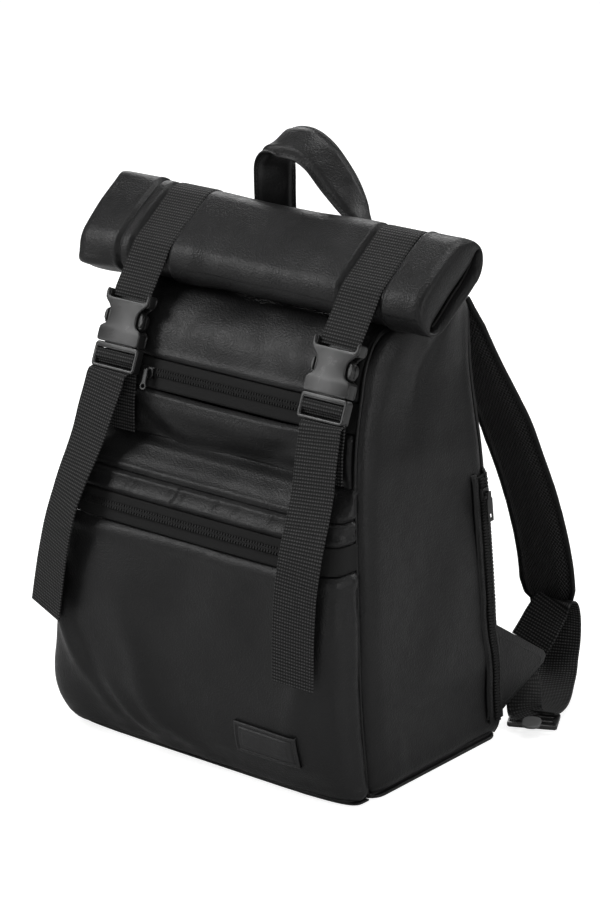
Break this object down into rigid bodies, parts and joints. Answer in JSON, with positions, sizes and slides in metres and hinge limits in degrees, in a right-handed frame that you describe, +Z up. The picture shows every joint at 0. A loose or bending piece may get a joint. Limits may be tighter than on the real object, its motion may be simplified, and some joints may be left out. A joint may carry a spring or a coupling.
{
  "type": "backpack",
  "caption": "Roll-top backpack in black faux leather with buckled closure straps, zipped front pocket, side zip, top handle and padded shoulder straps.",
  "frame": {"origin": "on the floor under the middle of the body's base", "axes": "+X to the bag's right seen from its front, -Y out of the front pocket, +Z up"},
  "size_m": [0.365, 0.3615, 0.479],
  "materials": {
    "leather": "matte fine-grained faux leather",
    "leather_inner": "matte fine-grained faux leather, inner turn",
    "label": "smooth pressed patch, blank",
    "webbing": "ribbed polypropylene webbing",
    "zip_tape": "woven zip tape",
    "zip_teeth": "satin moulded teeth",
    "zip_metal": "black enamel",
    "buckle_plastic": "satin moulded acetal",
    "air_mesh": "open spacer mesh",
    "back_mesh": "padded spacer mesh back",
    "foam": "closed-cell foam",
    "stiffener": "corrugated board",
    "lining": "plain lining cloth"
  },
  "bodies": {
    "bag": {"base_panel": "leather", "base_board": "stiffener", "side_panel_right": "leather", "side_panel_left": "leather", "back_panel": "back_mesh", "back_foam": "foam", "laptop_divider": "lining", "strap_yoke": "leather", "front_panel_lower": "leather", "front_panel_upper": "leather", "front_zip_tape": "zip_tape", "front_zip_teeth": "zip_teeth", "pocket_front": "leather", "pocket_floor": "leather", "pocket_band": "leather", "pocket_top": "leather", "pocket_zip_tape": "zip_tape", "pocket_zip_teeth": "zip_teeth", "label_patch": "label", "side_zip_tape": "zip_tape", "side_zip_teeth": "zip_teeth", "strap_anchor_right": "webbing", "strap_anchor_left": "webbing", "strap_webbing_right": "webbing", "strap_webbing_left": "webbing", "strap_tab_right": "leather", "strap_tab_left": "leather"},
    "roll": {"roll_wrap": "leather", "roll_core": "leather_inner", "closure_strap_right": "webbing", "closure_strap_left": "webbing", "buckle_housing_right": "buckle_plastic", "buckle_housing_left": "buckle_plastic"},
    "plug_right": {"buckle_plug_right": "buckle_plastic"},
    "plug_left": {"buckle_plug_left": "buckle_plastic"},
    "arm_right_outer": {"buckle_arm_right_outer": "buckle_plastic"},
    "arm_right_inner": {"buckle_arm_right_inner": "buckle_plastic"},
    "arm_left_outer": {"buckle_arm_left_outer": "buckle_plastic"},
    "arm_left_inner": {"buckle_arm_left_inner": "buckle_plastic"},
    "tail_right": {"strap_tail_right": "webbing"},
    "tail_left": {"strap_tail_left": "webbing"},
    "front_slider": {"front_zip_slider": "zip_metal"},
    "front_pull": {"front_zip_pull": "zip_metal"},
    "pocket_slider": {"pocket_zip_slider": "zip_metal"},
    "pocket_pull": {"pocket_zip_pull": "zip_metal"},
    "side_slider": {"side_zip_slider": "zip_metal"},
    "side_pull": {"side_zip_pull": "zip_metal"},
    "handle": {"top_handle": "leather"},
    "shoulder_right": {"shoulder_strap_right": "leather", "strap_mesh_right": "air_mesh"},
    "shoulder_left": {"shoulder_strap_left": "leather", "strap_mesh_left": "air_mesh"},
    "lock_right": {"ladder_lock_right": "buckle_plastic"},
    "lock_left": {"ladder_lock_left": "buckle_plastic"}
  },
  "joints": [
    {"name": "roll_lift", "type": "hinge", "parent": "bag", "child": "roll", "pos_m": [0, 0.006, 0.404], "axis": [-1, 0, 0], "range_deg": [0, 50]},
    {"name": "front_zip_slide", "type": "slide", "parent": "bag", "child": "front_slider", "axis": [1, 0, 0], "range_m": [0, 0.147]},
    {"name": "front_pull_flip", "type": "hinge", "parent": "front_slider", "child": "front_pull", "pos_m": [-0.07, -0.08691, 0.29975], "axis": [-1, 0, 0], "range_deg": [0, 75]},
    {"name": "pocket_zip_slide", "type": "slide", "parent": "bag", "child": "pocket_slider", "axis": [1, 0, 0], "range_m": [-0.212, 0]},
    {"name": "pocket_pull_sway", "type": "hinge", "parent": "pocket_slider", "child": "pocket_pull", "pos_m": [0.106, -0.12734, 0.20035], "axis": [0, -0.9511, 0.309], "range_deg": [-15, 15]},
    {"name": "side_zip_slide", "type": "slide", "parent": "bag", "child": "side_slider", "axis": [0.0095, 0.1182, -0.9929], "range_m": [0, 0.185]},
    {"name": "side_pull_flip", "type": "hinge", "parent": "side_slider", "child": "side_pull", "pos_m": [0.15478, 0.05259, 0.21267], "axis": [0, -0.993, -0.1182], "range_deg": [0, 70]},
    {"name": "handle_fold", "type": "hinge", "parent": "bag", "child": "handle", "pos_m": [0, 0.0395, 0.396], "axis": [-1, 0, 0], "range_deg": [0, 75]},
    {"name": "buckle_release_right", "type": "slide", "parent": "roll", "child": "plug_right", "axis": [0, -0.3778, -0.9259], "range_m": [0, 0.028], "deforming": ["buckle_arm_right_outer", "buckle_arm_right_inner"]},
    {"name": "buckle_squeeze_right_outer", "type": "hinge", "parent": "plug_right", "child": "arm_right_outer", "pos_m": [0.1188, -0.08362, 0.31643], "axis": [0, -0.9259, 0.3778], "range_deg": [0, 8]},
    {"name": "buckle_squeeze_right_inner", "type": "hinge", "parent": "plug_right", "child": "arm_right_inner", "pos_m": [0.0932, -0.08362, 0.31643], "axis": [0, 0.9259, -0.3778], "range_deg": [0, 8]},
    {"name": "tail_hang_right", "type": "hinge", "parent": "plug_right", "child": "tail_right", "pos_m": [0.106, -0.09712, 0.29817], "axis": [1, 0, 0], "range_deg": [0, 50]},
    {"name": "buckle_release_left", "type": "slide", "parent": "roll", "child": "plug_left", "axis": [0, -0.3778, -0.9259], "range_m": [0, 0.028], "deforming": ["buckle_arm_left_outer", "buckle_arm_left_inner"]},
    {"name": "buckle_squeeze_left_outer", "type": "hinge", "parent": "plug_left", "child": "arm_left_outer", "pos_m": [-0.1108, -0.08362, 0.31643], "axis": [0, 0.9259, -0.3778], "range_deg": [0, 8]},
    {"name": "buckle_squeeze_left_inner", "type": "hinge", "parent": "plug_left", "child": "arm_left_inner", "pos_m": [-0.0852, -0.08362, 0.31643], "axis": [0, -0.9259, 0.3778], "range_deg": [0, 8]},
    {"name": "tail_hang_left", "type": "hinge", "parent": "plug_left", "child": "tail_left", "pos_m": [-0.098, -0.09712, 0.29817], "axis": [1, 0, 0], "range_deg": [0, 50]},
    {"name": "shoulder_swing_right", "type": "hinge", "parent": "bag", "child": "shoulder_right", "pos_m": [0.105, 0.0615, 0.357], "axis": [1, 0, 0], "range_deg": [0, 18]},
    {"name": "lock_tilt_right", "type": "hinge", "parent": "bag", "child": "lock_right", "pos_m": [0.154, 0.124, 0.0085], "axis": [-0.891, -0.454, 0], "range_deg": [0, 35]},
    {"name": "shoulder_swing_left", "type": "hinge", "parent": "bag", "child": "shoulder_left", "pos_m": [-0.105, 0.0615, 0.357], "axis": [1, 0, 0], "range_deg": [0, 18]},
    {"name": "lock_tilt_left", "type": "hinge", "parent": "bag", "child": "lock_left", "pos_m": [-0.154, 0.124, 0.0085], "axis": [-0.891, 0.454, 0], "range_deg": [0, 35]}
  ],
  "couplings": [
    {"joint": "buckle_squeeze_right_inner", "follows": "buckle_squeeze_right_outer", "ratio": 1},
    {"joint": "tail_hang_right", "follows": "roll_lift", "ratio": 1},
    {"joint": "buckle_squeeze_left_inner", "follows": "buckle_squeeze_left_outer", "ratio": 1},
    {"joint": "tail_hang_left", "follows": "roll_lift", "ratio": 1}
  ]
}
